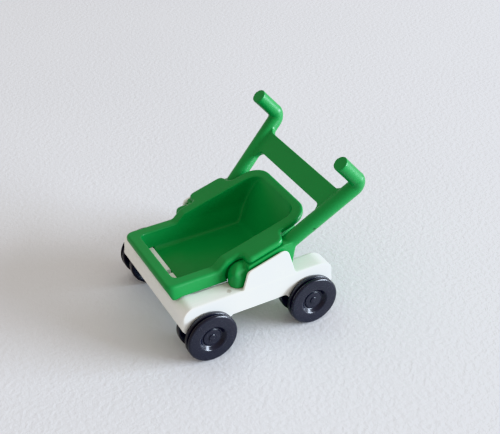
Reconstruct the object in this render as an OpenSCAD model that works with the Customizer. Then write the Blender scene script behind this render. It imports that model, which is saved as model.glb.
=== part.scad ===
// Small moulded toy pushchair: a chassis on four double wheels, a tub and a handle frame.
// +X points forwards (foot end), +Y to the left, +Z up, ground at z = 0.
// Places along X are written from the middle of the wheelbase and shifted by mid_x,
// so that the origin is under the middle of the whole object.

/* [Wheels] */
// Diameter of the wheels
wheel_d = 14; // [12.5:0.5:14]
// Width of an outer wheel
wheel_w = 2.7; // [2.4:0.1:2.9]
// Diameter of an inner disc
disc_d = 13.6; // [13:0.1:13.8]
// Width of an inner disc
disc_w = 2; // [1.4:0.1:2.2]
// Distance between the axles
wheelbase = 30; // [29:0.5:31]
// Distance between the outer faces of the left and right wheels
track_w = 45.4; // [45:0.2:47]
// Diameter of an axle pin
axle_d = 2; // [1.6:0.1:2.4]
// Diameter of the dished hub
hub_d = 7.4; // [6:0.2:8]

/* [Chassis] */
// Width across the side plates
chassis_w = 39.2; // [39:0.1:39.4]
// Height of the deck above the ground
deck_z = 16; // [15.8:0.1:16.4]
// Height of the lower edge of the side plates
edge_z = 9.7; // [9:0.1:10.5]
// Wall thickness of the side plates
wall = 1.1; // [0.9:0.1:1.2]
// Thickness of the deck and the front panel
deck_t = 1.4; // [1.2:0.1:1.6]
// Height of the cheek wings at their highest corner
wing_z = 24.4; // [23:0.2:25]

/* [Tub] */
// Outside width of the tub, without the armrests
tub_w = 28.2; // [28:0.1:28.4]
// Outside width across the armrests
armrest_w = 35.4; // [34:0.2:35.8]
// Inside width at the rim
inside_w = 22.3; // [21:0.1:22.5]
// Height of the low foot-end rim
foot_rim_z = 20.3; // [20:0.1:21]
// Rise of the rim towards the back, per millimetre
rim_slope = 0.276; // [0.26:0.01:0.29]
// Height of the tub's floor
floor_z = 15.2; // [15:0.1:15.6]
// Wall thickness of the tub
tub_t = 1.2; // [1:0.1:1.3]

/* [Handle] */
// Diameter of the handle tubes
tube_d = 4.2; // [3.8:0.1:4.3]
// Diameter of the grips, which fit a toy figure's hand
grip_d = 4; // [3.8:0.1:4.2]
// Distance between the grips, centre to centre
grip_span = 41.8; // [41:0.2:42]
// Height of the bends above the ground
bend_z = 39; // [38:0.2:40]
// Slope of the tubes above the horizontal, in degrees
tube_tilt = 39.9; // [39:0.1:41]
// Length of a grip from its bend
grip_len = 9.85; // [9:0.1:11]
// Thickness of the cross panel
panel_t = 1.6; // [1.2:0.1:2]

/* [Hidden] */
$fn = 64;

green = [0.10, 0.62, 0.27];
white = [0.93, 0.93, 0.90];
black = [0.13, 0.13, 0.16];

// Along the length, from the middle of the wheelbase
front_reach = 23.05;
bend_x = -29;
// A hair larger than the tubes, so that the bend's ball closes their ends
bend_r = tube_d / 2 + 0.02;
mid_x = -(front_reach + bend_x - bend_r) / 2;
rail_front = 22;
rail_back = -22.8;
rail_front_r = 3.2;
rail_back_r = 3.9;
opening_front = 16.6;
strip_front = 19.9;
step_low = 8.9;
step_high = 6.5;
step_rise = 2.3;
armrest_front = 1.95;
armrest_back = -8.4;
notch_x = -9.3;
tub_back = -18.85;
inside_front = 20.55;
inside_back = -16.6;
seat_back_x = -9.5;
corner_r = 1.9;
relief_x = 3.1;
relief_up = 2.4;
relief_r = 3.5;
skirt_back = -7;
skirt_front = 21.7;
seat_lean = (inside_back - seat_back_x) / (rim_z(inside_back) - floor_z);

wheel_r = wheel_d / 2;
half_w = chassis_w / 2;
wheel_in = track_w / 2 - wheel_w;
boss_in = 17;
disc_in = boss_in - 0.4 - disc_w;
press = 0.01;
running = 0.05;
// Room round an inner disc inside the chassis
disc_gap = 0.25;
opening_half = 13.45;
rail_skirt = 0.8;
lug_r = 3;
member_x = -5;
member_z = 11.2;
member = [4, 2.4];
peg_r = 1.2;
peg_y = 16.2;
peg_low = 12.4;
pegs_x = [0.6, -5.5];
arm_front = 6.65;
knob_x = 2.2;
knob_z = 22;
rim_t = 1.5;
legs_x = [12, -5];
leg_size = [4, 3];
// Taper from a bend to its grip: length, and how much thicker it is at the bend and at its end
taper = 2.3;
taper_start = 0.15;
taper_end = 0.03;
// Overlap of joined shapes, and sizes of cutting shapes larger than the whole object
lap = 0.2;
tall = 40;
wide = 50;

// Height of the rim's straight rising part at x
function rim_z(x) = foot_rim_z + step_rise + (step_high - x) * rim_slope;

function unit(v) = v / norm(v);

// Arc of radius r that rounds the corner b between a and c
function corner(a, b, c, r, n = 6) =
    let (
        u = unit(a - b),
        v = unit(c - b),
        half = acos(u * v) / 2,
        centre = b + unit(u + v) * r / sin(half),
        start = b + u * r / tan(half) - centre,
        end = b + v * r / tan(half) - centre,
        a0 = atan2(start.y, start.x),
        turn = (atan2(end.y, end.x) - a0 + 540) % 360 - 180
    )
    [for (i = [0 : n]) centre + r * [cos(a0 + turn * i / n), sin(a0 + turn * i / n)]];

// Outline through [x, y, r] corners, each rounded to its radius r
function rounded(p) =
    let (n = len(p), q = [for (c = p) [c.x, c.y]])
    [for (i = [0 : n - 1])
        each p[i].z > 0 ? corner(q[(i + n - 1) % n], q[i], q[(i + 1) % n], p[i].z) : [q[i]]];

// Left half of a plan outline, front to back, with its mirror image added
function both_sides(p) =
    concat(p, [for (i = [len(p) - 1 : -1 : 0]) [p[i].x, -p[i].y, p[i].z]]);

// Slab with a side-view outline, from y0 to y0 + w
module slab(y0, w) {
    translate([0, y0 + w, 0])
        rotate([90, 0, 0])
            linear_extrude(w) children();
}

// Round bar between two points, with radius r at a and end_r at b
module bar(a, b, r, end_r = undef) {
    v = b - a;
    translate(a)
        rotate([0, acos(v.z / norm(v)), atan2(v.y, v.x)])
            cylinder(r1 = r, r2 = is_undef(end_r) ? r : end_r, h = norm(v));
}

// Places the left wheel parts at each corner: end 1 front, -1 rear; side 1 left, -1 right
module at_corner(end, side) {
    translate([mid_x + end * wheelbase / 2, 0, wheel_r])
        rotate([-90 * side, 0, 0])
            children();
}

// ---- Wheels: rotate_extrude profiles with the axle along Z, outside face away from the middle

module wheel(end, side) {
    groove = 1.75;
    color(black)
        at_corner(end, side)
            translate([0, 0, wheel_in])
                rotate_extrude()
                    polygon([
                        [axle_d / 2 - press, 0],
                        [wheel_r - 0.4, 0],
                        [wheel_r - 0.1, 0.12],
                        [wheel_r, 0.4],
                        [wheel_r, groove - 0.3],
                        [wheel_r - 0.4, groove - 0.1],
                        [wheel_r - 0.4, groove + 0.1],
                        [wheel_r, groove + 0.3],
                        [wheel_r, wheel_w - 0.35],
                        [wheel_r - 0.1, wheel_w - 0.12],
                        [wheel_r - 0.4, wheel_w],
                        [hub_d / 2, wheel_w],
                        [hub_d / 2 - 0.5, wheel_w - 0.6],
                        [hub_d / 2 - 1.1, wheel_w - 0.8],
                        [hub_d / 2 - 1.2, wheel_w - 0.45],
                        [hub_d / 2 - 1.6, wheel_w - 0.45],
                        [hub_d / 2 - 1.9, wheel_w - 0.85],
                        [axle_d / 2 - press, wheel_w - 0.85],
                    ]);
}

module inner_disc(end, side) {
    color(black)
        at_corner(end, side)
            translate([0, 0, disc_in])
                rotate_extrude()
                    polygon([
                        [axle_d / 2 - press, 0],
                        [hub_d / 2 - 1, 0],
                        [hub_d / 2 - 0.7, 0.5],
                        [disc_d / 2 - 1.2, 0.5],
                        [disc_d / 2 - 1, 0],
                        [disc_d / 2 - 0.3, 0],
                        [disc_d / 2, 0.3],
                        [disc_d / 2, disc_w - 0.3],
                        [disc_d / 2 - 0.3, disc_w],
                        [axle_d / 2 - press, disc_w],
                    ]);
}

module axle_pin(end, side) {
    chamfer = 0.25;
    length = wheel_in + wheel_w - 0.55 - disc_in;
    color(black)
        at_corner(end, side)
            translate([0, 0, disc_in])
                rotate_extrude()
                    polygon([
                        [0, 0],
                        [axle_d / 2, 0],
                        [axle_d / 2, length - chamfer],
                        [axle_d / 2 - chamfer, length],
                        [0, length],
                    ]);
}

// ---- Chassis

// Side view of a rail: square lower corners, round upper ones
module rail_outline(inset = 0, low = edge_z) {
    polygon(rounded([
        [rail_back + inset, low, 0],
        [rail_back + inset, deck_z - inset, rail_back_r - inset],
        [rail_front - inset - 0.5, deck_z - inset, rail_front_r - inset],
        [rail_front - inset, low, 0],
    ]));
}

// Cheek wing that stands up beside the armrest
module wing_outline() {
    polygon(rounded([
        [4.7, deck_z - 1, 0],
        [2.85, wing_z - 3.25, 1.5],
        [-8.75, wing_z + 0.05, 1.9],
        [-11.3, deck_z - 1, 0],
    ]));
}

// Lug that widens a side plate round an axle
module lug_outline(x) {
    polygon([
        [x - 7.2, edge_z + 1],
        [x - 7.2, edge_z],
        [x - 2.4, wheel_r - 1.8],
        [x + 2.4, wheel_r - 1.8],
        [x + 6.9, edge_z],
        [x + 6.9, edge_z + 1],
    ]);
    translate([x, wheel_r]) circle(r = lug_r);
}

module chassis_shell() {
    difference() {
        intersection() {
            slab(-half_w, chassis_w) rail_outline();
            linear_extrude(deck_z + 1) polygon(rounded(both_sides([
                [rail_front, half_w, 1],
                [rail_back, half_w, 2],
                [rail_back, opening_half - lap, 0.8],
                [opening_front, opening_half - lap, 0],
            ])));
        }
        // Hollow underneath
        slab(-half_w + wall, chassis_w - 2 * wall) rail_outline(deck_t, 0);
        // Deck is open between the rails, right through to the back
        translate([rail_back - 1, -opening_half, 0])
            cube([opening_front - rail_back + 1, 2 * opening_half, tall]);
    }
}

module chassis_side() {
    slab(half_w - wall, wall) {
        wing_outline();
        lug_outline(wheelbase / 2);
        lug_outline(-wheelbase / 2);
    }
    // Inner wall of the rail
    slab(opening_half, rail_skirt)
        intersection() {
            rail_outline();
            translate([rail_back, edge_z])
                square([opening_front - rail_back, deck_z]);
        }
    // Bearing bosses on the inside of the side plate
    for (x = [-1, 1] * wheelbase / 2)
        translate([x, boss_in, wheel_r])
            rotate([-90, 0, 0])
                cylinder(r = lug_r, h = half_w - wall - boss_in + lap);
    // Sockets under the deck for the handle's pegs
    for (x = pegs_x)
        translate([x, peg_y, peg_low])
            cylinder(r = peg_r + 0.8, h = deck_z - deck_t - peg_low + lap);
}

module chassis() {
    color(white)
        translate([mid_x, 0, 0])
            difference() {
                union() {
                    chassis_shell();
                    chassis_side();
                    mirror([0, 1, 0]) chassis_side();
                    // Cross-member under the seat
                    translate([member_x, -opening_half - lap, member_z])
                        cube([member.x, 2 * (opening_half + lap), member.y]);
                }
                for (side = [-1, 1]) {
                    for (x = [-1, 1] * wheelbase / 2)
                        translate([x, 0, wheel_r])
                            rotate([-90 * side, 0, 0]) {
                                translate([0, 0, boss_in - 1])
                                    cylinder(r = axle_d / 2 + running, h = half_w - boss_in + 2);
                                // Pocket in the end wall that clears the inner disc
                                translate([0, 0, disc_in - disc_gap])
                                    cylinder(r = disc_d / 2 + disc_gap, h = boss_in - disc_in);
                            }
                    for (x = pegs_x)
                        translate([x, side * peg_y, peg_low - 1])
                            cylinder(r = peg_r - press, h = deck_z - peg_low + 2);
                }
            }
}

// ---- Tub

// Plan of the rim, with the armrests
function rim_plan() = both_sides([
    [front_reach, tub_w / 2, corner_r],
    [armrest_front, tub_w / 2, 0.9],
    [armrest_front, armrest_w / 2, 1.3],
    [armrest_back, armrest_w / 2, 1.7],
    [notch_x, tub_w / 2 - 0.2, 1.8],
    [tub_back, tub_w / 2 - 0.2, 5.6],
]);

// Plan of the inside at the rim, made larger by grow
function inside_plan(grow = 0) = both_sides([
    [inside_front + grow, inside_w / 2 + grow, 1.6 + grow],
    [inside_back - grow, inside_w / 2 + grow, 4.2 + grow],
]);

// Side view between the rim's top, lowered by drop, and the level at low
module below_rim(drop, low) {
    polygon([
        [front_reach + 1, low],
        [front_reach + 1, foot_rim_z - drop],
        [step_low - drop / 4, foot_rim_z - drop],
        [step_high - drop / 4, foot_rim_z + step_rise - drop],
        [tub_back - 1, rim_z(tub_back - 1) - drop],
        [tub_back - 1, low],
    ]);
}

module rim_band() {
    intersection() {
        linear_extrude(tall) polygon(rounded(rim_plan()));
        difference() {
            slab(-wide / 2, wide) below_rim(0, 0);
            slab(-wide / 2 - 1, wide + 2) below_rim(rim_t, -1);
        }
    }
}

// Side view of the skirt, from its lower edge up into the rim
module skirt_outline() {
    polygon([
        [skirt_back, deck_z],
        [strip_front - 0.5, deck_z],
        [skirt_front, deck_z - 0.5],
        [front_reach, foot_rim_z - 1],
        [step_low, foot_rim_z - 1],
        [step_high, foot_rim_z + 1.2],
        [skirt_back, rim_z(skirt_back) - 1],
    ]);
}

// Outer skirt that stands on the deck
module skirt() {
    difference() {
        intersection() {
            slab(-wide / 2, wide) skirt_outline();
            linear_extrude(tall)
                polygon(rounded(both_sides([
                    [front_reach, tub_w / 2, corner_r],
                    [skirt_back, tub_w / 2, 0],
                ])));
        }
        intersection() {
            slab(-wide / 2, wide)
                polygon([
                    [skirt_back - 1, deck_z - 1],
                    [skirt_front - tub_t, deck_z - 1],
                    [front_reach - tub_t, foot_rim_z - 1.3],
                    [step_low, foot_rim_z - 1.3],
                    [step_high, foot_rim_z + 0.8],
                    [skirt_back - 1, rim_z(skirt_back - 1) - 1.3],
                ]);
            linear_extrude(tall)
                polygon(rounded(both_sides([
                    [front_reach - tub_t, tub_w / 2 - tub_t, 1.5],
                    [skirt_back - 1, tub_w / 2 - tub_t, 0],
                ])));
        }
        // Round-topped relief that clears the handle's front lug
        for (side = [-1, 1])
            translate([relief_x, side * tub_w / 2, deck_z + relief_up])
                rotate([90, 0, 0])
                    cylinder(r = relief_r, h = 2 * tub_t + 0.6, center = true);
    }
}

// End view of the basin: sloping sides and a flat floor, made larger by grow
module basin_end_view(grow) {
    floor_half = inside_w / 2 - 1.5;
    polygon([
        [-inside_w / 2 - grow, tall],
        [-inside_w / 2 - grow, foot_rim_z],
        [-floor_half - grow, floor_z - grow],
        [floor_half + grow, floor_z - grow],
        [inside_w / 2 + grow, foot_rim_z],
        [inside_w / 2 + grow, tall],
    ]);
}

module basin_body(grow, side_view) {
    intersection() {
        translate([-wide / 2, 0, 0])
            rotate([90, 0, 90])
                linear_extrude(wide) basin_end_view(grow);
        slab(-wide / 2, wide) polygon(side_view);
        linear_extrude(tall) polygon(rounded(inside_plan(grow)));
    }
}

module basin() {
    // Outside of the basin, which ends at the deck's front cross strip
    intersection() {
        basin_body(tub_t, [
            [seat_back_x - 1.1, floor_z - tub_t],
            [opening_front - 0.1, floor_z - tub_t],
            [opening_front - 0.1, deck_z],
            [strip_front + tub_t, deck_z],
            [front_reach, foot_rim_z],
            [front_reach, tall],
            [seat_back_x - 1.3 + seat_lean * (tall - floor_z), tall],
        ]);
        slab(-wide / 2, wide) below_rim(lap, 0);
    }
}

module basin_cavity() {
    basin_body(0, [
        [seat_back_x, floor_z],
        [opening_front - 0.1, floor_z],
        [opening_front - 0.1, floor_z - 4],
        [strip_front, floor_z - 4],
        [strip_front, deck_z],
        [inside_front, foot_rim_z],
        [inside_front, tall],
        [seat_back_x + seat_lean * (tall - floor_z), tall],
    ]);
}

// Leg that drops inside the deck's opening and locates the tub
module locating_leg(x, side) {
    leg = opening_half - running - (tub_w / 2 - tub_t);
    translate([x, side * (tub_w / 2 - tub_t + leg / 2), deck_z])
        cube([leg_size.x, leg, leg_size.y], center = true);
}

module tub() {
    color(green)
        translate([mid_x, 0, 0])
            difference() {
                union() {
                    rim_band();
                    skirt();
                    basin();
                    for (x = legs_x, side = [-1, 1]) locating_leg(x, side);
                }
                basin_cavity();
                // Room for the handle's tubes beside the seat back
                for (m = [0, 1])
                    mirror([0, m, 0]) bar(tube_low, tube_high, tube_d / 2 + 0.1);
            }
}

// ---- Handle frame

// Lower end of a tube's axis, inside the side arm, and its bend
tube_low_z = 22;
tube_low = [bend_x + (bend_z - tube_low_z) / tan(tube_tilt), 15.35, tube_low_z];
tube_high = [bend_x, grip_span / 2, bend_z];
function tube_y(z) =
    tube_low.y + (tube_high.y - tube_low.y) * (z - tube_low_z) / (bend_z - tube_low_z);

// Side view of a side arm, which stands on the deck under the armrest
module arm_outline() {
    under = rim_t + 0.15;
    polygon([
        [knob_x, deck_z],
        [knob_x, rim_z(armrest_front) - under - 0.2],
        [armrest_front, rim_z(armrest_front) - under],
        [armrest_back, rim_z(armrest_back) - under],
        [-12.4, rim_z(armrest_back) - under],
        [-10.4, deck_z],
    ]);
}

// Round-topped front end of a side arm
module knob_outline() {
    polygon(rounded([
        [knob_x - 0.1, deck_z, 0],
        [arm_front, deck_z, 0],
        [arm_front, knob_z, 3.3],
        [knob_x - 0.1, knob_z, 0],
    ]));
}

module side_arm() {
    inner = tub_w / 2 + 0.15;
    outer = half_w - wall - 0.35;
    slab(inner, outer - inner) arm_outline();
    intersection() {
        slab(inner, outer - inner) knob_outline();
        linear_extrude(tall)
            polygon(rounded([
                [knob_x - 1, inner, 0],
                [arm_front, inner, 0],
                [arm_front, outer, 2],
                [knob_x - 1, outer, 0],
            ]));
        translate([knob_x - 1, 0, 0])
            rotate([90, 0, 90])
                linear_extrude(10)
                    polygon(rounded([
                        [inner, deck_z, 0],
                        [outer, deck_z, 0],
                        [outer, knob_z, 3.3],
                        [inner, knob_z, 0],
                    ]));
    }
    for (x = pegs_x)
        translate([x, peg_y, peg_low])
            cylinder(r = peg_r, h = deck_z - peg_low + 0.5);
}

module handle_side() {
    side_arm();
    grip_dir = [sin(tube_tilt), 0, cos(tube_tilt)];
    bar(tube_low, tube_high, tube_d / 2);
    translate(tube_high) sphere(r = bend_r);
    taper_to = tube_high + taper * grip_dir;
    bar(tube_high, taper_to, grip_d / 2 + taper_start, grip_d / 2 + taper_end);
    bar(tube_high, tube_high + grip_len * grip_dir, grip_d / 2);
}

// Flat cross panel between the tubes, with fillets in its corners
module cross_panel() {
    top = 5.1;
    low = 11.2;
    fillet = 2.2;
    top_fillet = 1.1;
    // Half the gap between the tubes at a distance t down them from the bends
    function gap(t) = tube_y(bend_z - t * sin(tube_tilt)) - tube_d / 2;
    sunk = tube_d / 2;
    translate([bend_x, 0, bend_z])
        rotate([0, tube_tilt, 0])
            translate([0, 0, -panel_t / 2])
                linear_extrude(panel_t)
                    polygon(rounded(both_sides([
                        [top, gap(top) - top_fillet, 1],
                        [top - top_fillet, gap(top - top_fillet), 0],
                        [top - top_fillet, gap(top) + sunk, 0],
                        [low + fillet, gap(low) + sunk, 0],
                        [low + fillet, gap(low + fillet), 0],
                        [low, gap(low) - fillet / 2, 1.2],
                    ])));
}

module handle() {
    color(green)
        translate([mid_x, 0, 0]) {
            handle_side();
            mirror([0, 1, 0]) handle_side();
            cross_panel();
        }
}

chassis();
tub();
handle();
wheel(1, 1);  // wheel_front_left
wheel(1, -1);  // wheel_front_right
wheel(-1, 1);  // wheel_rear_left
wheel(-1, -1);  // wheel_rear_right
inner_disc(1, 1);  // inner_disc_front_left
inner_disc(1, -1);  // inner_disc_front_right
inner_disc(-1, 1);  // inner_disc_rear_left
inner_disc(-1, -1);  // inner_disc_rear_right
axle_pin(1, 1);  // axle_pin_front_left
axle_pin(1, -1);  // axle_pin_front_right
axle_pin(-1, 1);  // axle_pin_rear_left
axle_pin(-1, -1);  // axle_pin_rear_right
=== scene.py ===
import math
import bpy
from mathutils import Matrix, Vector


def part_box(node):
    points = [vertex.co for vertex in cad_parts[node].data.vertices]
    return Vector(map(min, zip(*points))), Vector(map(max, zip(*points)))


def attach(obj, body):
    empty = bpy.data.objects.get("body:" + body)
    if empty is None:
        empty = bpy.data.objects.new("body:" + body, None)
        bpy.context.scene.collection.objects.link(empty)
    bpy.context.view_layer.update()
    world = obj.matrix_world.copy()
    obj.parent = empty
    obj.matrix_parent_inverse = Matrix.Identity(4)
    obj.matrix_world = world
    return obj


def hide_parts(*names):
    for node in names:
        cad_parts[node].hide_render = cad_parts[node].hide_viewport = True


bl_info = {
    "name": "Toy Pushchair",
    "version": (1, 0, 0),
    "blender": (4, 5, 0),
    "location": "View3D > Sidebar > Pushchair",
    "description": "Builds the looks of a small moulded toy pushchair round its packed frame",
    "category": "Add Mesh",
}

import bmesh
import bpy
from mathutils import Matrix, Vector

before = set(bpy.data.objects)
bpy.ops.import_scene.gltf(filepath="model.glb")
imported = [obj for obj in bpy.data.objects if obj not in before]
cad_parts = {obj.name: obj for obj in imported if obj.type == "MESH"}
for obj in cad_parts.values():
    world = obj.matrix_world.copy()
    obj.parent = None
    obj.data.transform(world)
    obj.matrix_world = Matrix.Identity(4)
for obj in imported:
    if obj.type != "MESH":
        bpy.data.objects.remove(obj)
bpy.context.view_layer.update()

# Pieces are modelled in millimetres, along X from the middle of the wheelbase, and then moved
# and scaled into the frame.
MM = 0.001
ENDS = {"front": 1, "rear": -1}
SIDES = {"left": 1, "right": -1}
CORNERS = [(end, side) for end in ENDS for side in SIDES]
SHARP = math.radians(30)
ARC_STEPS = 8
EDGE_STEPS = 4


def middle(node):
    """Middle of a frame node's box, in millimetres."""
    low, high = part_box(node)
    return (low + high) / 2 / MM


FRONT_AXLE = middle("axle_pin_front_left")
REAR_AXLE = middle("axle_pin_rear_left")
MID_X = (FRONT_AXLE.x + REAR_AXLE.x) / 2
HALF_BASE = (FRONT_AXLE.x - REAR_AXLE.x) / 2
AXLE_Z = FRONT_AXLE.z


# ---- Outlines and solids

# How a drawn outline stands: flat, from the side (x, z) or from the end (y, z)
PLAN = Matrix.Identity(4)
SIDE_VIEW = Matrix(((1, 0, 0, 0), (0, 0, 1, 0), (0, 1, 0, 0), (0, 0, 0, 1)))
END_VIEW = Matrix(((0, 0, 1, 0), (1, 0, 0, 0), (0, 1, 0, 0), (0, 0, 0, 1)))


def rounded_outline(corners):
    """Face through (x, y, radius) corners, each rounded to its radius."""
    bm = bmesh.new()
    verts = [bm.verts.new((x, y, 0)) for x, y, _ in corners]
    bm.faces.new(verts)
    points = [Vector((x, y)) for x, y, _ in corners]
    for i, (vert, (_, _, radius)) in enumerate(zip(verts, corners)):
        if radius > 0:
            before = points[i - 1] - points[i]
            after = points[(i + 1) % len(points)] - points[i]
            reach = radius / math.tan(before.angle(after) / 2)
            bmesh.ops.bevel(
                bm, geom=[vert], offset=reach, offset_type="OFFSET", affect="VERTICES",
                segments=ARC_STEPS, profile=0.5, material=-1, clamp_overlap=False,
            )
    return bm


def both_sides(corners):
    """Left half of a plan outline, front to back, with its mirror image added."""
    return corners + [(x, -y, radius) for x, y, radius in reversed(corners)]


def prism(corners, low, high, stands=PLAN):
    """Closed solid with a rounded outline, from low to high across it."""
    bm = rounded_outline(corners)
    bmesh.ops.translate(bm, verts=bm.verts, vec=(0, 0, low))
    made = bmesh.ops.extrude_face_region(bm, geom=bm.faces[:])["geom"]
    top = [item for item in made if isinstance(item, bmesh.types.BMVert)]
    bmesh.ops.translate(bm, verts=top, vec=(0, 0, high - low))
    bmesh.ops.transform(bm, matrix=stands, verts=bm.verts)
    bmesh.ops.recalc_face_normals(bm, faces=bm.faces)
    return bm


def round_edges(bm, edges, width):
    """Rounds the given edges."""
    bmesh.ops.bevel(
        bm, geom=edges, offset=width, offset_type="OFFSET", affect="EDGES", segments=EDGE_STEPS,
        profile=0.5, material=-1, clamp_overlap=True,
    )


def drum(radius, start, end, steps=64):
    """Round bar between two points."""
    start, end = Vector(start), Vector(end)
    along = end - start
    turn = along.to_track_quat("Z", "Y").to_matrix().to_4x4()
    bm = bmesh.new()
    bmesh.ops.create_cone(
        bm, cap_ends=True, segments=steps, radius1=radius, radius2=radius,
        depth=along.length, matrix=Matrix.Translation((start + end) / 2) @ turn,
    )
    return bm


def solid(bm, name="solid"):
    """Mesh object in millimetres, from a finished bmesh."""
    mesh = bpy.data.meshes.new(name)
    bm.to_mesh(mesh)
    bm.free()
    obj = bpy.data.objects.new(name, mesh)
    bpy.context.scene.collection.objects.link(obj)
    return obj


def apply_modifiers(obj):
    """Replaces an object's mesh with what its modifiers make of it."""
    bpy.context.view_layer.update()
    graph = bpy.context.evaluated_depsgraph_get()
    mesh = bpy.data.meshes.new_from_object(obj.evaluated_get(graph), depsgraph=graph)
    obj.modifiers.clear()
    spent, obj.data = obj.data, mesh
    bpy.data.meshes.remove(spent)


def combine(base, operation, *shapes):
    """Joins shapes to base, cuts them from it or keeps what they share with it."""
    tools = [solid(shape) if isinstance(shape, bmesh.types.BMesh) else shape for shape in shapes]
    for tool in tools:
        step = base.modifiers.new("step", "BOOLEAN")
        step.operation = operation
        step.solver = "EXACT"
        step.object = tool
    apply_modifiers(base)
    for tool in tools:
        bpy.data.meshes.remove(tool.data)
    return base


def soften(obj, voxel, passes, keep):
    """Fuses a solid and rounds all its edges a little, as moulding does."""
    fuse = obj.modifiers.new("fuse", "REMESH")
    fuse.mode = "VOXEL"
    fuse.voxel_size = voxel
    smooth = obj.modifiers.new("smooth", "SMOOTH")
    smooth.factor = 0.5
    smooth.iterations = passes
    if keep < 1:
        thin = obj.modifiers.new("thin", "DECIMATE")
        thin.ratio = keep
    apply_modifiers(obj)


def turned(profile, steps=96):
    """Ring with the given (radius, along) profile, turned round the Y axis."""
    bm = rounded_outline(profile)
    bmesh.ops.delete(bm, geom=bm.faces[:], context="FACES_ONLY")
    bmesh.ops.spin(
        bm, geom=bm.verts[:] + bm.edges[:], cent=(0, 0, 0), axis=(0, 1, 0), angle=math.tau,
        steps=steps, use_merge=True,
    )
    bmesh.ops.remove_doubles(bm, verts=bm.verts, dist=1e-5)
    bmesh.ops.recalc_face_normals(bm, faces=bm.faces)
    return bm


def place(obj, name, body, nodes, finish):
    """Moves a finished piece from millimetres into the frame and gives it its body and finish."""
    obj.name = name
    obj.data.name = name
    obj.data.transform(Matrix.Diagonal((MM, MM, MM, 1)) @ Matrix.Translation((MID_X, 0, 0)))
    obj.data.materials.clear()
    obj.data.materials.append(finish)
    obj.data.shade_smooth()
    obj.data.set_sharp_from_angle(angle=math.radians(50))
    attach(obj, body)
    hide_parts(*nodes)


class Millimetres:
    """Reads a property group's lengths in millimetres."""

    def __init__(self, group):
        self.group = group

    def __getattr__(self, name):
        return getattr(self.group, name) / MM


# ---- Finishes

# A nick in the left tube, and a painted shadow on the deck at the foot of the left knob, in millimetres
# from the wheelbase's middle
NICK_PLACE = (-16.5, 19.3, 28.2)
KNOB_SHADOW_PLACE = (7.6, 17.6, 16.0)


class Wire:
    """A shader value that can be used in arithmetic."""

    def __init__(self, tree, socket):
        self.tree = tree
        self.socket = socket

    def maths(self, operation, first, second):
        return self.tree.add("ShaderNodeMath", {"operation": operation}, {0: first, 1: second})

    def __add__(self, other):
        return self.maths("ADD", self, other)

    def __sub__(self, other):
        return self.maths("SUBTRACT", self, other)

    def __rsub__(self, other):
        return self.maths("SUBTRACT", other, self)

    def __mul__(self, other):
        return self.maths("MULTIPLY", self, other)

    __radd__ = __add__
    __rmul__ = __mul__


class Finish:
    """A material whose nodes are added one expression at a time."""

    def __init__(self, name, slot):
        self.material = bpy.data.materials.new(name)
        self.material["slot"] = slot
        self.material.use_nodes = True
        self.nodes = self.material.node_tree.nodes
        self.links = self.material.node_tree.links
        self.nodes.clear()
        self.shader = self.nodes.new("ShaderNodeBsdfPrincipled")
        output = self.nodes.new("ShaderNodeOutputMaterial")
        self.links.new(self.shader.outputs[0], output.inputs["Surface"])
        self.place = self.add("ShaderNodeTexCoord", output="Object")

    def add(self, kind, settings=None, inputs=None, output=0):
        """Adds a node: its settings first, then its inputs' values or links."""
        node = self.nodes.new(kind)
        for name, value in (settings or {}).items():
            if name == "stops":
                for element, (position, grey) in zip(node.color_ramp.elements, value):
                    element.position = position
                    element.color = (grey, grey, grey, 1)
            else:
                setattr(node, name, value)
        for name, value in (inputs or {}).items():
            self.feed(node.inputs[name], value)
        return Wire(self, node.outputs[output])

    def feed(self, socket, value):
        if isinstance(value, Wire):
            self.links.new(value.socket, socket)
        else:
            socket.default_value = value

    def noise(self, scale, detail=3.0, place=None, roughness=0.5):
        inputs = {
            "Vector": place or self.place,
            "Scale": scale,
            "Detail": detail,
            "Roughness": roughness,
        }
        return self.add("ShaderNodeTexNoise", inputs=inputs)

    def ramp(self, value, low, high):
        """0 below low, 1 above high, and a straight rise between."""
        return self.add(
            "ShaderNodeValToRGB", {"stops": ((low, 0.0), (high, 1.0))}, {"Fac": value}
        )

    def mix(self, factor, first, second):
        return self.add(
            "ShaderNodeMix", {"data_type": "RGBA"}, {0: factor, 6: first, 7: second}, output=2
        )

    def scratches(self, angle, scale):
        """Fine straight scratches that lie one way."""
        stretch = {
            "Vector": self.place,
            "Rotation": (angle * 0.4, angle * 0.7, angle),
            "Scale": (1, 14, 14),
        }
        drawn_out = self.add("ShaderNodeMapping", inputs=stretch)
        return self.ramp(self.noise(scale, 2.0, drawn_out), 0.66, 0.72)

    def spot(self, centre, radius):
        """Mask of a small ragged mark round a point in millimetres from the middle of the wheelbase."""
        at = tuple(value * MM for value in (centre[0] + MID_X, centre[1], centre[2]))
        away = self.add(
            "ShaderNodeVectorMath", {"operation": "DISTANCE"}, {0: self.place, 1: at}, output="Value"
        )
        ragged = away * (1 / (radius * MM)) + (self.noise(2600, 2.0) - 0.5) * 1.6
        return 1 - self.ramp(ragged, 0.55, 1.0)

    def colour(self, value):
        self.feed(self.shader.inputs["Base Color"], value)

    def set(self, **values):
        for name, value in values.items():
            self.feed(self.shader.inputs[name.replace("_", " ").title().replace("Ior", "IOR")], value)


def tone(colour, factor):
    return (*(channel * factor for channel in colour[:3]), 1)


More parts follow.
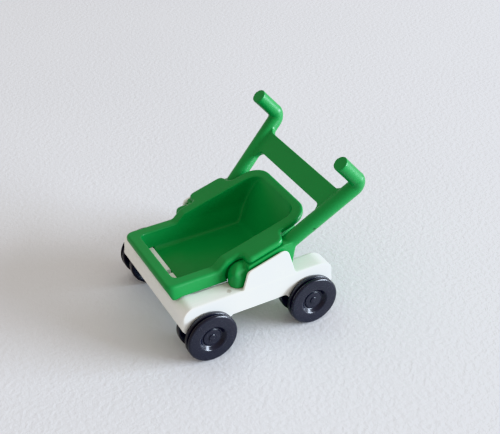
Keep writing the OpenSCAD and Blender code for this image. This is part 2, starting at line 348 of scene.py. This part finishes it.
def plastic(name, slot, colour, roughness, shade, wear):
    """Glossy moulded plastic, with faint clouding, orange peel, rubbed patches and scratches."""
    finish = Finish(name, slot)
    clouds = finish.noise(55, 4.0)
    specks = finish.noise(1400, 2.0)
    peel = finish.noise(900, 2.0)
    rubbed = finish.ramp(finish.noise(160, 5.0, roughness=0.65), 0.52, 0.78)
    scratched = finish.scratches(0.6, 420) + finish.scratches(2.1, 360)
    body = finish.mix(finish.ramp(clouds, 0.35, 0.7), tone(colour, 1 - shade), tone(colour, 1 + shade))
    body = finish.mix(scratched * (0.35 * wear), body, tone(colour, 1.35))
    finish.colour(body)
    finish.set(roughness=roughness + rubbed * (0.16 * wear) + scratched * (0.12 * wear) + specks * 0.04)
    height = peel * 0.6 + scratched * (-0.5 * wear) + finish.noise(240, 3.0) * 0.8
    finish.set(
        normal=finish.add(
            "ShaderNodeBump", inputs={"Height": height, "Strength": 0.35, "Distance": 0.00003}
        )
    )
    return finish, body


def make_finishes(colours):
    """The three plastics, by name."""
    green, body = plastic("green plastic", "green_plastic", colours.green, 0.3, 0.06, 1.0)
    nick = green.spot(NICK_PLACE, 0.55)
    green.colour(green.mix(nick * 0.8, body, tone(colours.green, 0.15)))
    white, body = plastic("white plastic", "white_plastic", colours.white, 0.32, 0.015, 0.5)
    yellowed = white.ramp(white.noise(38, 3.0), 0.45, 0.8)
    # Painted shadow: a dark brown patch on the deck at the foot of the left knob, where the knob's shade
    # falls
    knob_shadow = white.spot(KNOB_SHADOW_PLACE, 0.8)
    body = white.mix(yellowed * 0.3, body, colours.aged)
    white.colour(white.mix(knob_shadow * 0.45, body, colours.painted_shadow))
    black, _ = plastic("black plastic", "black_plastic", colours.black, 0.2, 0.1, 0.8)
    black.set(specular_ior_level=0.6)
    return {"green": green.material, "white": white.material, "black": black.material}


def finish_named(context, key):
    """One of the plastics, all of which are made when the first is asked for."""
    made = context.scene.get("pushchair_finishes")
    if made is None:
        made = {name: item.name for name, item in make_finishes(context.scene.pushchair_colours).items()}
        context.scene["pushchair_finishes"] = made
    return bpy.data.materials[made[key]]


# ---- Sizes and colours


def length(name, millimetres, text):
    return bpy.props.FloatProperty(
        name=name, description=text, default=millimetres * MM, min=0, unit="LENGTH", precision=5
    )


def colour(name, value, text):
    return bpy.props.FloatVectorProperty(
        name=name, description=text, subtype="COLOR", size=4, min=0, max=1, default=(*value, 1)
    )


class ChassisSizes(bpy.types.PropertyGroup):
    width: length("Width", 39.2, "Width across the side plates")
    deck: length("Deck height", 16, "Height of the deck")
    skirt: length("Lower edge", 9.7, "Height of the side plates' lower edge")
    wall: length("Wall", 1.1, "Thickness of the side plates")
    floor: length("Deck thickness", 1.4, "Thickness of the deck and of the end walls")
    wing: length("Wing height", 24.45, "Height of the cheek wings' highest corner")
    front_round: length("Front rounding", 3.2, "Radius where the deck turns down at the front")
    rear_round: length("Rear rounding", 4.5, "Radius where the deck turns down at the back")


class TubSizes(bpy.types.PropertyGroup):
    width: length("Width", 28.2, "Outside width without the armrests")
    armrests: length("Armrest width", 35.4, "Outside width across the armrests")
    inside: length("Inside width", 21.9, "Inside width at the rim")
    foot: length("Foot-end rim", 20.3, "Height of the rim at the foot end")
    rise: length("Step", 2.3, "Height of the step in the rim")
    floor: length("Floor", 15.2, "Height of the floor")
    wall: length("Wall", 1.2, "Thickness of the tub's walls")
    band: length("Rim depth", 1.55, "Depth of the rim's flange")
    fold: length("Rim rounding", 0.75, "Radius of the rim's outer edge")


class HandleSizes(bpy.types.PropertyGroup):
    tube: length("Tube diameter", 4.2, "Diameter of the tubes")
    grip: length("Grip diameter", 4.0, "Diameter of the grips")
    span: length("Grip spacing", 41.8, "Distance between the grips, centre to centre")
    bend: length("Bend radius", 2.3, "Radius of the bends, to the tube's middle")
    grip_length: length("Grip length", 9.85, "Length of a grip from the corner of its bend")
    panel: length("Panel thickness", 1.6, "Thickness of the cross panel")


class WheelSizes(bpy.types.PropertyGroup):
    diameter: length("Wheel diameter", 14, "Diameter of the outer wheels")
    width: length("Wheel width", 2.7, "Width of an outer wheel")
    hub: length("Hub diameter", 7.4, "Diameter of the dished hub")
    disc: length("Disc diameter", 13.6, "Diameter of the inner discs")
    disc_width: length("Disc width", 2, "Width of an inner disc")
    pin: length("Pin diameter", 2, "Diameter of the axle pins")


class Colours(bpy.types.PropertyGroup):
    green: colour("Green", (0.02, 0.26, 0.06), "Colour of the tub and the handle")
    white: colour("White", (0.86, 0.86, 0.82), "Colour of the chassis")
    aged: colour("Aged white", (0.80, 0.77, 0.62), "Colour of the white where it has yellowed")
    # Colour of the shadow painted on the deck at the foot of the left knob
    painted_shadow: colour("Painted shadow", (0.30, 0.20, 0.12), "Colour of the shadow painted in corners")
    black: colour("Black", (0.016, 0.016, 0.024), "Colour of the wheels")
    floor: colour("Floor", (0.76, 0.76, 0.775), "Colour of the floor")


class StageSettings(bpy.types.PropertyGroup):
    distance: length("Camera distance", 265, "Distance from the camera to the point it looks at")
    lens: bpy.props.FloatProperty(
        name="Lens", description="Focal length", default=70.57, min=10, unit="CAMERA"
    )
    key: bpy.props.FloatProperty(
        name="Key light", description="Power of the key light", default=52, min=0, unit="POWER"
    )
    sky: bpy.props.FloatProperty(
        name="Sky", description="Strength of the surrounding light", default=0.68, min=0
    )


# ---- Chassis

RAIL_BACK = -22.8
RAIL_FRONT = 22.0
# Plan of the opening under the tub
OPENING_HALF = 13.45
OPENING_FRONT = 16.6
# Pegs that hold the handle in the deck
PEG_PLACES = (0.6, -5.5)
PEG_Y = 16.2
PEG_RADIUS = 1.19


def rail_corners(size, inset, low):
    """Side view of the deck and the side plates, drawn in by inset, down to a level."""
    back, front = RAIL_BACK + inset, RAIL_FRONT - inset
    top = size.deck - inset
    return [
        (back, low, 0),
        (back, top, size.rear_round - inset),
        (front - 0.5, top, size.front_round - inset),
        (front, low, 0),
    ]


def wing_corners(size):
    """Side view of a cheek wing."""
    return [
        (4.7, size.deck - 1, 0),
        (2.85, size.wing - 3.3, 1.5),
        (-8.75, size.wing, 1.9),
        (-11.3, size.deck - 1, 0),
    ]


def lug_corners(size, x):
    """Side view of the lug that carries an axle at x."""
    low = 4.0
    return [
        (x - 7.2, size.skirt + 1, 0),
        (x - 7.2, size.skirt, 0),
        (x - 2.9, low + 0.6, 0.6),
        (x - 1.6, low, 1.2),
        (x + 1.6, low, 1.2),
        (x + 2.9, low + 0.6, 0.6),
        (x + 6.9, size.skirt, 0),
        (x + 6.9, size.skirt + 1, 0),
    ]


def block(back, front, inner, outer):
    """Square-cornered plan outline."""
    return [(front, inner, 0), (front, outer, 0), (back, outer, 0), (back, inner, 0)]


def mirrored_prisms(corners, inner, outer):
    """The same side-view solid on the left and on the right."""
    return [prism(corners, inner, outer, SIDE_VIEW), prism(corners, -outer, -inner, SIDE_VIEW)]


def axle_drums(radius, inner, outer, steps=64):
    """A round bar in line with each of the four axle ends."""
    return [
        drum(radius, (x, sign * inner, AXLE_Z), (x, sign * outer, AXLE_Z), steps)
        for x in (HALF_BASE, -HALF_BASE)
        for sign in SIDES.values()
    ]


def build_chassis(context):
    size = Millimetres(context.scene.pushchair_chassis)
    half = size.width / 2
    inner = half - size.wall
    body = solid(prism(rail_corners(size, 0, size.skirt), -half, half, SIDE_VIEW))
    plan = [(RAIL_FRONT, half, 1.2), (RAIL_BACK, half, 2.0)]
    combine(body, "INTERSECT", prism(both_sides(plan), 0, 17))
    hollow = prism(rail_corners(size, size.floor, 0), -inner, inner, SIDE_VIEW)
    gap = prism(both_sides([(OPENING_FRONT, OPENING_HALF, 0.8), (-24, OPENING_HALF, 0)]), 0, 20)
    combine(body, "DIFFERENCE", hollow, gap)
    added = []
    for x in (HALF_BASE, -HALF_BASE):
        added += mirrored_prisms(lug_corners(size, x), inner, half)
        for sign in SIDES.values():
            added.append(drum(3.0, (x, sign * 17.0, AXLE_Z), (x, sign * (inner + 0.3), AXLE_Z)))
    added += mirrored_prisms(wing_corners(size), inner, half - 0.07)
    rail_wall = [
        (-22.2, size.skirt, 0.5),
        (-22.2, 14.2, 2.5),
        (-19, size.deck - 0.4, 0),
        (OPENING_FRONT, 15.4, 0),
        (OPENING_FRONT, size.skirt, 0),
    ]
    added += mirrored_prisms(rail_wall, OPENING_HALF, OPENING_HALF + 0.8)
    cross_member = prism(block(-5, -1, -13.7, 13.7), 11.2, 13.6)
    added.append(cross_member)
    for x in PEG_PLACES:
        for sign in SIDES.values():
            added.append(drum(2.0, (x, sign * PEG_Y, 12.4), (x, sign * PEG_Y, 15)))
    combine(body, "UNION", *added)
    disc_pockets = axle_drums(radius=7.05, inner=14.35, outer=16.85)
    combine(body, "DIFFERENCE", *disc_pockets)
    soften(body, voxel=0.24, passes=12, keep=0.6)
    cuts = axle_drums(radius=1.05, inner=16, outer=21, steps=48)
    # Faint line along the foot of each wing, and a small hole in the front strip
    line = [
        (-11, size.deck - 0.2, 0),
        (-11, size.deck + 0.1, 0),
        (4.3, size.deck + 0.1, 0),
        (4.3, size.deck - 0.2, 0),
    ]
    cuts += mirrored_prisms(line, half - 0.15, half + 1)
    cuts.append(prism(block(16, 18.2, 1.6, 3.2), 11, 17))
    combine(body, "DIFFERENCE", *cuts)
    place(body, "chassis_moulding", "frame", ["chassis"], finish_named(context, "white"))


# ---- Tub

RIM_SLOPE = 0.276
STEP_X = 6.5
STEP_FOOT_X = 8.9
TUB_FRONT = 23.05
TUB_BACK = -18.85
ARMREST_FRONT = 1.95
ARMREST_BACK = -8.4
SKIRT_BACK = -7
BASIN_FRONT = 19.9
BASIN_BACK = -16.6
# Where the floor ends at the deck's front strip
FLOOR_FRONT = 16.5
# A level above the whole tub
TALL = 40


def rim_height(tub, x):
    """Height of the rim's sloping part at x."""
    return tub.foot + tub.rise + (STEP_X - x) * RIM_SLOPE


def below_rim(tub, drop, low):
    """Side view from the rim, lowered by drop, down to a level."""
    back = -21
    return [
        (24.5, low, 0),
        (24.5, tub.foot - drop, 0),
        (STEP_FOOT_X - drop / 4, tub.foot - drop, 1.4),
        (STEP_X - drop / 4, tub.foot + tub.rise - drop, 1.6),
        (back, rim_height(tub, back) - drop, 0),
        (back, low, 0),
    ]


def rim_plan(tub):
    """Plan of the rim with its armrests."""
    half, arm = tub.width / 2, tub.armrests / 2
    return both_sides([
        (TUB_FRONT, half, 2.1),
        (ARMREST_FRONT, half, 0.9),
        (ARMREST_FRONT, arm, 1.4),
        (ARMREST_BACK, arm, 1.7),
        (ARMREST_BACK - 0.9, half - 0.2, 1.8),
        (TUB_BACK, half - 0.2, 5.6),
    ])


def rim_band(tub):
    """Flange round the top, with a rounded outer edge."""
    band = solid(prism(rim_plan(tub), 10, TALL))
    combine(band, "INTERSECT", prism(below_rim(tub, 0, 10), -25, 25, SIDE_VIEW))
    bm = bmesh.new()
    bm.from_mesh(band.data)
    outer = [
        e for e in bm.edges
        if len(e.link_faces) == 2 and e.calc_face_angle(0) > math.radians(50)
        and max(f.normal.z for f in e.link_faces) > 0.5
    ]
    round_edges(bm, outer, tub.fold)
    bm.to_mesh(band.data)
    bm.free()
    under = prism(below_rim(tub, tub.band, 5), -26, 26, SIDE_VIEW)
    return combine(band, "DIFFERENCE", under)


def skirt(tub, deck):
    """Walls that stand on the deck under the rim, at the foot end and the sides."""
    half = tub.width / 2
    walls = solid(prism([
        (SKIRT_BACK, deck + 0.3, 0),
        (19.4, deck + 0.3, 1.0),
        (21.6, deck - 0.2, 0.5),
        (TUB_FRONT, tub.foot - 1, 0),
        (STEP_FOOT_X, tub.foot - 1, 0),
        (STEP_X, tub.foot + 1.2, 0),
        (SKIRT_BACK, rim_height(tub, SKIRT_BACK) - 1, 0),
    ], -20, 20, SIDE_VIEW))
    plan = both_sides([(TUB_FRONT, half, 2.1), (SKIRT_BACK, half, 0)])
    combine(walls, "INTERSECT", prism(plan, 10, TALL))
    hollow = solid(prism([
        (-8, deck - 1, 0),
        (20.4, deck - 1, 0),
        (21.8, tub.foot - 1.4, 0),
        (STEP_FOOT_X, tub.foot - 1.4, 0),
        (STEP_X, tub.foot + 0.8, 0),
        (-8, rim_height(tub, -8) - 1.4, 0),
    ], -20, 20, SIDE_VIEW))
    inside = half - 1.5
    plan = both_sides([(21.8, inside, 1.5), (-8.5, inside, 0)])
    combine(hollow, "INTERSECT", prism(plan, 10, TALL))
    return combine(walls, "DIFFERENCE", hollow)


def basin(tub, grow, side_corners):
    """Sloping-sided basin shape, made larger by grow."""
    half = tub.inside / 2 + grow
    floor_half = half - 1.5
    end = [
        (-half, TALL, 0),
        (-half, tub.foot, 4),
        (-floor_half, tub.floor - grow, 1.0 + grow),
        (floor_half, tub.floor - grow, 1.0 + grow),
        (half, tub.foot, 4),
        (half, TALL, 0),
    ]
    shape = solid(prism(end, -30, 30, END_VIEW))
    plan = both_sides([(BASIN_FRONT + grow, half, 1.4 + grow), (BASIN_BACK - grow, half, 4.2 + grow)])
    return combine(shape, "INTERSECT", prism(side_corners, -20, 20, SIDE_VIEW), prism(plan, 0, TALL))


def build_tub(context):
    tub = Millimetres(context.scene.pushchair_tub)
    deck = Millimetres(context.scene.pushchair_chassis).deck
    back_foot = -9.5
    lean = (BASIN_BACK - back_foot) / (rim_height(tub, BASIN_BACK) - tub.floor)
    top_x = back_foot + lean * (TALL - tub.floor)
    body = combine(rim_band(tub), "UNION", skirt(tub, deck))
    shell = basin(tub, tub.wall, [
        (back_foot - 1.1, tub.floor - tub.wall, 2.0),
        (FLOOR_FRONT, tub.floor - tub.wall, 0),
        (FLOOR_FRONT, deck, 0),
        (BASIN_FRONT + tub.wall, deck, 0),
        (22.6, tub.foot, 0),
        (22.6, TALL, 0),
        (top_x - 1.3, TALL, 0),
    ])
    combine(shell, "INTERSECT", prism(below_rim(tub, 0.4, 0), -25, 25, SIDE_VIEW))
    combine(body, "UNION", shell)
    cavity = basin(tub, 0, [
        (back_foot, tub.floor, 1.6),
        (19.6, tub.floor, 0),
        (BASIN_FRONT, tub.foot, 0),
        (BASIN_FRONT, TALL, 0),
        (top_x, TALL, 0),
    ])
    soften(cavity, voxel=0.35, passes=24, keep=0.6)
    strip = prism(block(FLOOR_FRONT, 19.4, -9.3, 9.3), 11, 17)
    # Round-topped hollows that clear the handle's knobs
    reliefs = [drum(3.6, (3.1, sign * 13.3, 18.3), (3.1, sign * 16, 18.3)) for sign in SIDES.values()]
    combine(body, "DIFFERENCE", cavity, strip, *reliefs)
    soften(body, voxel=0.22, passes=5, keep=0.5)
    place(body, "tub_moulding", "frame", ["tub"], finish_named(context, "green"))


# ---- Handle

TILT = math.radians(39.9)
UP_GRIP = Vector((math.sin(TILT), 0, math.cos(TILT)))
BEND = Vector((-29.0, 0, 39.0))
TUBE_LOW_Z = 22.0
TUBE_LOW_Y = 15.35


def bent_tube(size, side):
    """Tube from inside the side arm up to its bend, then the upturned grip."""
    corner = BEND + Vector((0, side * size.span / 2, 0))
    reach = (BEND.z - TUBE_LOW_Z) / math.tan(TILT)
    low = Vector((BEND.x + reach, side * TUBE_LOW_Y, TUBE_LOW_Z))
    along = (corner - low).normalized()
    bm = bmesh.new()
    facing = along.to_track_quat("Z", "Y").to_matrix().to_4x4()
    bmesh.ops.create_circle(
        bm, cap_ends=False, segments=48, radius=size.tube / 2, matrix=Matrix.Translation(low) @ facing
    )
    ring = bm.edges[:]
    bmesh.ops.contextual_create(bm, geom=ring)
    start = corner - along * size.bend
    ring = extend(bm, ring, start - low)
    centre = start + UP_GRIP * size.bend
    axis = along.cross(UP_GRIP)
    spun = bmesh.ops.spin(
        bm, geom=ring + ends_of(ring), cent=centre, axis=axis, angle=math.pi / 2, steps=12
    )
    ring = [item for item in spun["geom_last"] if isinstance(item, bmesh.types.BMEdge)]
    end = corner + UP_GRIP * size.bend
    narrower = Vector.Fill(3, size.grip / size.tube)
    bmesh.ops.scale(bm, vec=narrower, space=Matrix.Translation(-end), verts=ends_of(ring))
    ring = extend(bm, ring, UP_GRIP * (size.grip_length - size.bend))
    bmesh.ops.contextual_create(bm, geom=ring)
    bmesh.ops.remove_doubles(bm, verts=bm.verts, dist=1e-5)
    bmesh.ops.recalc_face_normals(bm, faces=bm.faces)
    return bm


def ends_of(edges):
    """The vertices of some edges, each once."""
    return list({vert for edge in edges for vert in edge.verts})


def extend(bm, ring, step):
    """Extrudes a ring of edges by a step and returns the new ring."""
    made = bmesh.ops.extrude_edge_only(bm, edges=ring)["geom"]
    bmesh.ops.translate(bm, verts=[v for v in made if isinstance(v, bmesh.types.BMVert)], vec=step)
    return [e for e in made if isinstance(e, bmesh.types.BMEdge)]


def cross_panel(size):
    """Flat panel between the tubes, with fillets in its corners."""
    top, low, fillet, top_fillet = 5.1, 11.2, 2.2, 1.1
    rise = BEND.z - TUBE_LOW_Z

    def gap(down):
        """Half the gap between the tubes, some way down them from their bends."""
        share = down * math.sin(TILT) / rise
        return size.span / 2 - (size.span / 2 - TUBE_LOW_Y) * share - size.tube / 2

    sunk = size.tube / 2
    corners = both_sides([
        (top, gap(top) - top_fillet, 1.0),
        (top - top_fillet, gap(top - top_fillet), 0),
        (top - top_fillet, gap(top) + sunk, 0),
        (low + fillet, gap(low) + sunk, 0),
        (low + fillet, gap(low + fillet), 0),
        (low, gap(low) - fillet / 2, 1.3),
    ])
    bm = prism(corners, -size.panel / 2, size.panel / 2)
    lay = Matrix.Translation(BEND) @ Matrix.Rotation(TILT, 4, "Y")
    bmesh.ops.transform(bm, matrix=lay, verts=bm.verts)
    return bm


def side_arm(tub, deck, side):
    """Arm that stands on the deck under the armrest, with a round knob at its front."""
    inner, outer = tub.width / 2 + 0.15, 18.15
    knob_back, knob_front, knob_top = 2.05, 6.65, 22.1
    arm_back = rim_height(tub, ARMREST_BACK)
    under = tub.band + 0.1
    low, high = sorted((side * inner, side * outer))
    plate = solid(prism([
        (2.2, deck, 0),
        (2.2, rim_height(tub, ARMREST_FRONT) - under - 0.2, 0.5),
        (ARMREST_BACK, arm_back - under, 0),
        (-12.2, arm_back - under, 1.0),
        (-10.4, deck, 0),
    ], low, high, SIDE_VIEW))
    knob = solid(prism([
        (knob_back, deck, 0),
        (knob_front, deck, 0),
        (knob_front, knob_top, 3.9),
        (knob_back, knob_top, 0),
    ], low, high, SIDE_VIEW))
    plan = [
        (0, side * inner, 0),
        (knob_front, side * inner, 1.0),
        (knob_front, side * outer, 2.4),
        (0, side * outer, 0),
    ]
    end = [
        (side * inner, deck, 0),
        (side * inner, knob_top, 0.2),
        (side * outer, knob_top, 3.6),
        (side * outer, deck, 0),
    ]
    combine(knob, "INTERSECT", prism(plan, 10, 30), prism(end, -1, 10, END_VIEW))
    soften(knob, voxel=0.25, passes=10, keep=1)
    peg_y = side * PEG_Y
    pegs = [drum(PEG_RADIUS, (x, peg_y, 12.45), (x, peg_y, deck + 1)) for x in PEG_PLACES]
    return combine(plate, "UNION", knob, *pegs)


def build_handle(context):
    size = Millimetres(context.scene.pushchair_handle)
    tub = Millimetres(context.scene.pushchair_tub)
    deck = Millimetres(context.scene.pushchair_chassis).deck
    body = solid(bent_tube(size, 1))
    others = [bent_tube(size, -1), cross_panel(size), side_arm(tub, deck, 1), side_arm(tub, deck, -1)]
    combine(body, "UNION", *others)
    soften(body, voxel=0.2, passes=5, keep=0.5)
    place(body, "handle_moulding", "frame", ["handle"], finish_named(context, "green"))


# ---- Wheels


def wheel_profile(size):
    """Outer wheel: tread with one groove, flat face and dished hub."""
    r, w = size.diameter / 2, size.width
    hub, pin = size.hub / 2, size.pin / 2
    groove, lip, well = r - 0.5, w - 0.95, w - 1.0
    return [
        (pin, 0, 0),
        (r, 0, 0.45),
        (r, lip - 0.5, 0.25),
        (groove, lip - 0.35, 0.1),
        (groove, lip, 0.1),
        (r, lip + 0.15, 0.25),
        (r, w, 0.55),
        (hub, w, 0.5),
        (hub - 0.85, well, 0.35),
        (hub - 1.2, well, 0.1),
        (hub - 1.3, well + 0.22, 0.12),
        (pin, well + 0.25, 0),
    ]


def disc_profile(size):
    """Inner disc, with a shallow ring sunk in its inner face."""
    r, w, pin = size.disc / 2, size.disc_width, size.pin / 2
    return [
        (pin, 0, 0),
        (2.4, 0, 0.2),
        (2.7, 0.5, 0.2),
        (r - 1.2, 0.5, 0.3),
        (r - 0.9, 0, 0.2),
        (r, 0, 0.35),
        (r, w, 0.35),
        (pin, w, 0),
    ]


def wheel_piece(context, profile, kind, end, side):
    """A turned piece on one axle, with its profile's zero at its node's inner face."""
    node = f"{kind}_{end}_{side}"
    low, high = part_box(node)
    sign = SIDES[side]
    inner = min(abs(low.y), abs(high.y)) / MM
    bm = turned([(radius, sign * (inner + along), bend) for radius, along, bend in profile])
    bmesh.ops.translate(bm, verts=bm.verts, vec=(ENDS[end] * HALF_BASE, 0, AXLE_Z))
    place(solid(bm), f"turned_{node}", f"{end}_{side}_wheel", [node], finish_named(context, "black"))


def build_pin(context, end, side):
    """Pin with a domed outer end."""
    node = f"axle_pin_{end}_{side}"
    low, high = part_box(node)
    sign = SIDES[side]
    inner, outer = sorted((abs(low.y) / MM, abs(high.y) / MM))
    x = ENDS[end] * HALF_BASE
    bm = drum((high.x - low.x) / MM / 2, (x, sign * inner, AXLE_Z), (x, sign * outer, AXLE_Z), 48)
    ends = [e for e in bm.edges if e.calc_face_angle(0) > SHARP]
    round_edges(bm, ends, 0.25)
    place(solid(bm), f"turned_{node}", f"{end}_{side}_wheel", [node], finish_named(context, "black"))


# ---- Stage

# Directions to the camera and the place it looks at, in degrees and millimetres
CAMERA_AZIMUTH = 152.49
CAMERA_ELEVATION = 34.44
CAMERA_ROLL = -1.51
CAMERA_AIM = Vector((MID_X - 8.2, -0.16, 23.0))
# Place, size and tint of the key light, in metres
KEY_PLACE = (-1.22, 0.95, 0.40)
KEY_SIZE = (1.0, 0.6)
KEY_TINT = (0.74, 0.85, 1)
LIT_PLACE = (0, 0, 0.02)
SKY_TINT = (1.0, 0.95, 0.9, 1)


def camera_turn(azimuth, elevation, roll):
    """Turn of a camera that looks down on the middle from a compass angle and a height angle."""
    a, e = math.radians(azimuth), math.radians(elevation)
    back = Vector((math.sin(a) * math.cos(e), -math.cos(a) * math.cos(e), math.sin(e)))
    right = Vector((0, 0, 1)).cross(back).normalized()
    up = back.cross(right)
    turn = Matrix((right, up, back)).transposed()
    return back, (turn @ Matrix.Rotation(math.radians(roll), 3, "Z")).to_4x4()


def build_camera(context, stage):
    back, turn = camera_turn(CAMERA_AZIMUTH, CAMERA_ELEVATION, CAMERA_ROLL)
    data = bpy.data.cameras.new("camera")
    data.lens = stage.lens
    data.sensor_fit = "HORIZONTAL"
    data.sensor_width = 36
    data.clip_start = 0.01
    obj = bpy.data.objects.new("camera", data)
    obj.matrix_world = Matrix.Translation(CAMERA_AIM * MM + back * stage.distance) @ turn
    context.scene.collection.objects.link(obj)
    context.scene.camera = obj


def add_light(context, name, place_at, target, size, power, tint):
    """Rectangular light at a place, turned towards a target."""
    data = bpy.data.lights.new(name, "AREA")
    data.shape = "RECTANGLE"
    data.size, data.size_y = size
    data.energy = power
    data.color = tint
    obj = bpy.data.objects.new(name, data)
    at = Vector(place_at)
    turn = (at - Vector(target)).to_track_quat("Z", "Y").to_matrix().to_4x4()
    obj.matrix_world = Matrix.Translation(at) @ turn
    context.scene.collection.objects.link(obj)


def build_floor(tint):
    """Round sheet of slightly rough paper."""
    finish = Finish("floor paper", "")
    grain = finish.noise(700, 4.0, roughness=0.6)
    cloud = finish.noise(9, 2.0)
    finish.colour(finish.mix(finish.ramp(cloud, 0.3, 0.7), tone(tint, 0.985), tone(tint, 1.015)))
    finish.set(roughness=grain * 0.1 + 0.55)
    bump = {"Height": grain, "Strength": 0.5, "Distance": 0.00028}
    finish.set(normal=finish.add("ShaderNodeBump", inputs=bump))
    bm = bmesh.new()
    bmesh.ops.create_circle(bm, cap_ends=True, segments=64, radius=1.5)
    floor = solid(bm, "floor")
    floor.data.materials.append(finish.material)


def build_stage(context):
    stage = context.scene.pushchair_stage
    build_camera(context, stage)
    build_floor(context.scene.pushchair_colours.floor)
    add_light(context, "key", KEY_PLACE, LIT_PLACE, KEY_SIZE, stage.key, KEY_TINT)
    world = bpy.data.worlds.new("studio")
    world.use_nodes = True
    sky = world.node_tree.nodes["Background"]
    sky.inputs["Color"].default_value = SKY_TINT
    sky.inputs["Strength"].default_value = stage.sky
    context.scene.world = world
    context.scene.view_settings.view_transform = "Khronos PBR Neutral"


# ---- Operators, panel and registration


class AddChassis(bpy.types.Operator):
    """Adds the white chassis moulding"""

    bl_idname = "pushchair.add_chassis"
    bl_label = "Add Chassis"
    bl_options = {"REGISTER", "UNDO"}

    def execute(self, context):
        build_chassis(context)
        return {"FINISHED"}


class AddTub(bpy.types.Operator):
    """Adds the green seat tub"""

    bl_idname = "pushchair.add_tub"
    bl_label = "Add Tub"
    bl_options = {"REGISTER", "UNDO"}

    def execute(self, context):
        build_tub(context)
        return {"FINISHED"}


class AddHandle(bpy.types.Operator):
    """Adds the green handle frame with its grips"""

    bl_idname = "pushchair.add_handle"
    bl_label = "Add Handle"
    bl_options = {"REGISTER", "UNDO"}

    def execute(self, context):
        build_handle(context)
        return {"FINISHED"}


class AddWheels(bpy.types.Operator):
    """Adds the four outer wheels"""

    bl_idname = "pushchair.add_wheels"
    bl_label = "Add Wheels"
    bl_options = {"REGISTER", "UNDO"}

    def execute(self, context):
        profile = wheel_profile(Millimetres(context.scene.pushchair_wheels))
        for end, side in CORNERS:
            wheel_piece(context, profile, "wheel", end, side)
        return {"FINISHED"}


class AddInnerDiscs(bpy.types.Operator):
    """Adds the four discs behind the side plates"""

    bl_idname = "pushchair.add_inner_discs"
    bl_label = "Add Inner Discs"
    bl_options = {"REGISTER", "UNDO"}

    def execute(self, context):
        profile = disc_profile(Millimetres(context.scene.pushchair_wheels))
        for end, side in CORNERS:
            wheel_piece(context, profile, "inner_disc", end, side)
        return {"FINISHED"}


class AddAxlePins(bpy.types.Operator):
    """Adds the four axle pins"""

    bl_idname = "pushchair.add_axle_pins"
    bl_label = "Add Axle Pins"
    bl_options = {"REGISTER", "UNDO"}

    def execute(self, context):
        for end, side in CORNERS:
            build_pin(context, end, side)
        return {"FINISHED"}


class AddStage(bpy.types.Operator):
    """Adds the camera, the floor and the studio light"""

    bl_idname = "pushchair.add_stage"
    bl_label = "Add Stage"
    bl_options = {"REGISTER", "UNDO"}

    def execute(self, context):
        build_stage(context)
        return {"FINISHED"}


OPERATORS = (AddStage, AddChassis, AddTub, AddHandle, AddWheels, AddInnerDiscs, AddAxlePins)
GROUPS = {
    "pushchair_chassis": ChassisSizes,
    "pushchair_tub": TubSizes,
    "pushchair_handle": HandleSizes,
    "pushchair_wheels": WheelSizes,
    "pushchair_colours": Colours,
    "pushchair_stage": StageSettings,
}


class PushchairPanel(bpy.types.Panel):
    """Lists the pushchair's pieces"""

    bl_idname = "VIEW3D_PT_pushchair"
    bl_label = "Toy Pushchair"
    bl_space_type = "VIEW_3D"
    bl_region_type = "UI"
    bl_category = "Pushchair"

    def draw(self, context):
        for operator in OPERATORS:
            self.layout.operator(operator.bl_idname)
        for key, group in GROUPS.items():
            box = self.layout.box()
            box.label(text=group.__name__)
            for name in group.__annotations__:
                box.prop(getattr(context.scene, key), name)


def register():
    for item in (*GROUPS.values(), *OPERATORS, PushchairPanel):
        bpy.utils.register_class(item)
    for key, group in GROUPS.items():
        setattr(bpy.types.Scene, key, bpy.props.PointerProperty(type=group))


def unregister():
    for key in GROUPS:
        delattr(bpy.types.Scene, key)
    for item in reversed((*GROUPS.values(), *OPERATORS, PushchairPanel)):
        bpy.utils.unregister_class(item)


def main():
    register()
    for operator in OPERATORS:
        group, name = operator.bl_idname.split(".")
        getattr(getattr(bpy.ops, group), name)()


if __name__ == "__main__":
    main()
